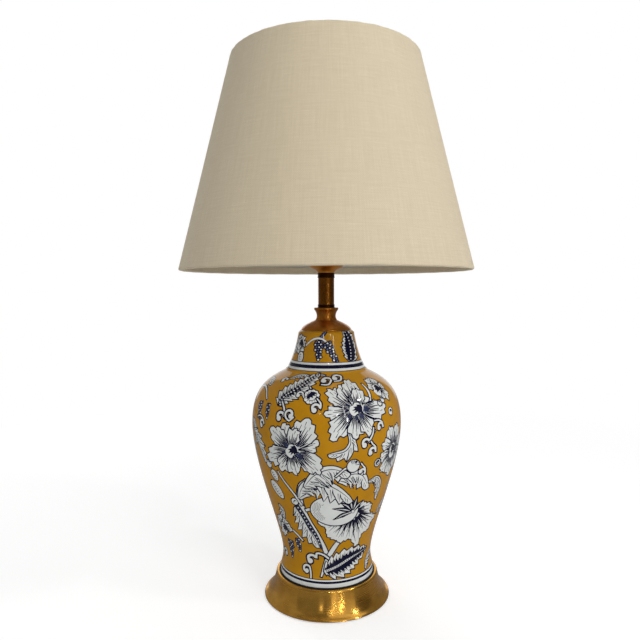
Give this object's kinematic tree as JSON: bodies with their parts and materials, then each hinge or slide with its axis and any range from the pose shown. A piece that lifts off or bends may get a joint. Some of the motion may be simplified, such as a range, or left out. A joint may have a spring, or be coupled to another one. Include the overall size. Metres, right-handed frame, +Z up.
{
  "type": "table lamp",
  "caption": "Ginger jar table lamp: painted ceramic jar and bell lid on a flared brass base, slim brass neck, and a tapered linen drum shade that lifts off its ring.",
  "frame": {"origin": "centre of the felt's underside, where the lamp stands on the table", "axes": "+Z up along the lamp's axis, front of the lamp towards -Y, cord bush towards +Y"},
  "size_m": [0.3548, 0.3548, 0.6566],
  "materials": {
    "brushed_brass": "brushed, lacquered",
    "antique_brass": "darkened, satin",
    "plain_brass": "machined",
    "zinc_steel": "zinc plated",
    "felt": "felt",
    "black_rubber": "matt",
    "bush_plastic": "matt",
    "painted_ceramic": "hand painted under a clear gloss glaze",
    "holder_plastic": "moulded",
    "holder_ceramic": "unglazed",
    "contact_metal": "nickelled",
    "white_wire": "white enamel",
    "shade_lining": "translucent white sheet",
    "shade_linen": "plain woven linen"
  },
  "bodies": {
    "lamp": {"base_shell": "brushed_brass", "base_plate": "zinc_steel", "base_felt": "felt", "cord_bush": "bush_plastic", "bottom_washer": "zinc_steel", "bottom_nut": "plain_brass", "threaded_rod": "zinc_steel", "jar_pad": "black_rubber", "jar": "painted_ceramic", "lid_washer": "black_rubber", "lid": "painted_ceramic", "dome_cap": "antique_brass", "waist_collar": "antique_brass", "lower_ferrule": "antique_brass", "neck_tube": "antique_brass", "upper_ferrule": "antique_brass", "holder_cup": "antique_brass", "holder_nut": "plain_brass", "holder_base": "holder_plastic", "holder_sleeve": "holder_plastic", "holder_insert": "holder_ceramic", "terminal_screws": "plain_brass", "centre_contact": "contact_metal", "screw_shell": "contact_metal"},
    "shade": {"shade_carrier": "white_wire", "bottom_wire": "white_wire", "top_wire": "white_wire", "shade_lining": "shade_lining", "shade_fabric": "shade_linen"},
    "shade_ring": {"shade_ring": "holder_plastic"}
  },
  "joints": [
    {"name": "shade_lift", "type": "slide", "parent": "lamp", "child": "shade", "axis": [0, 0, 1], "range_m": [0, 0.06]},
    {"name": "shade_ring_lift", "type": "slide", "parent": "shade", "child": "shade_ring", "axis": [0, 0, 1], "range_m": [0, 0.03]}
  ]
}
